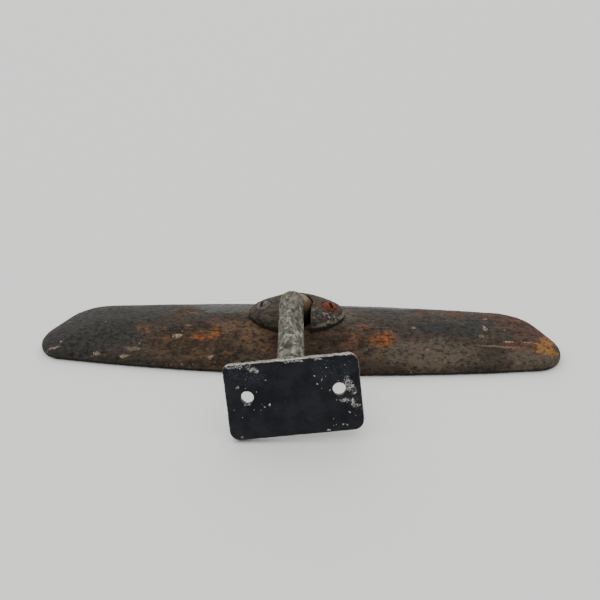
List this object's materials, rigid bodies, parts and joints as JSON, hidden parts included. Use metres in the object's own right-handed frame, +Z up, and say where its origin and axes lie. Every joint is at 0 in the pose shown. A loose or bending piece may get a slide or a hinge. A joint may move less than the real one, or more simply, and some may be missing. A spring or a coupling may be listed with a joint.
{
  "type": "interior mirror",
  "caption": "Long shallow mirror head with a ball joint clamped on its back and a short cast arm ending in a flat two-hole mounting plate.",
  "frame": {"origin": "bottom centre of the whole object's box, on the surface that the glass side of the head lies on", "axes": "+X along the head, +Z up out of the head's back, the arm and its plate reach towards -Y"},
  "size_m": [0.2307, 0.0918, 0.0309],
  "materials": {
    "rusted_shell": "worn, rusted paint",
    "mirror_glass": "silvered",
    "backing_card": "fibre card",
    "inner_steel": "dull",
    "clamp_steel": "corroded",
    "dull_screw": "dull",
    "rusted_screw": "rusted",
    "friction_fibre": "fibre",
    "ball_steel": "rust stained",
    "arm_casting": "black paint over pitted zinc"
  },
  "bodies": {
    "head": {"back_shell": "rusted_shell", "mirror_glass": "mirror_glass", "backing_card": "backing_card", "socket_plate": "inner_steel", "clamp_nuts": "inner_steel", "clamp_plate": "clamp_steel", "clamp_screw_left": "dull_screw", "clamp_screw_right": "rusted_screw"},
    "seat": {"ball_seat": "friction_fibre"},
    "ball": {"ball": "ball_steel"},
    "arm": {"mounting_arm": "arm_casting"}
  },
  "joints": [
    {"name": "head_tilt", "type": "hinge", "parent": "head", "child": "seat", "pos_m": [0.0004, 0.02352, 0.014], "axis": [0.9942, 0.073, 0.0785], "range_deg": [-50, 5]},
    {"name": "head_swing", "type": "hinge", "parent": "seat", "child": "ball", "pos_m": [0.0004, 0.02352, 0.014], "axis": [-0.0732, 0.9973, 0], "range_deg": [-4, 8]},
    {"name": "arm_twist", "type": "hinge", "parent": "ball", "child": "arm", "pos_m": [0.0004, 0.02352, 0.014], "axis": [-0.1377, -0.5671, 0.812], "range_deg": [-15, 15]}
  ]
}
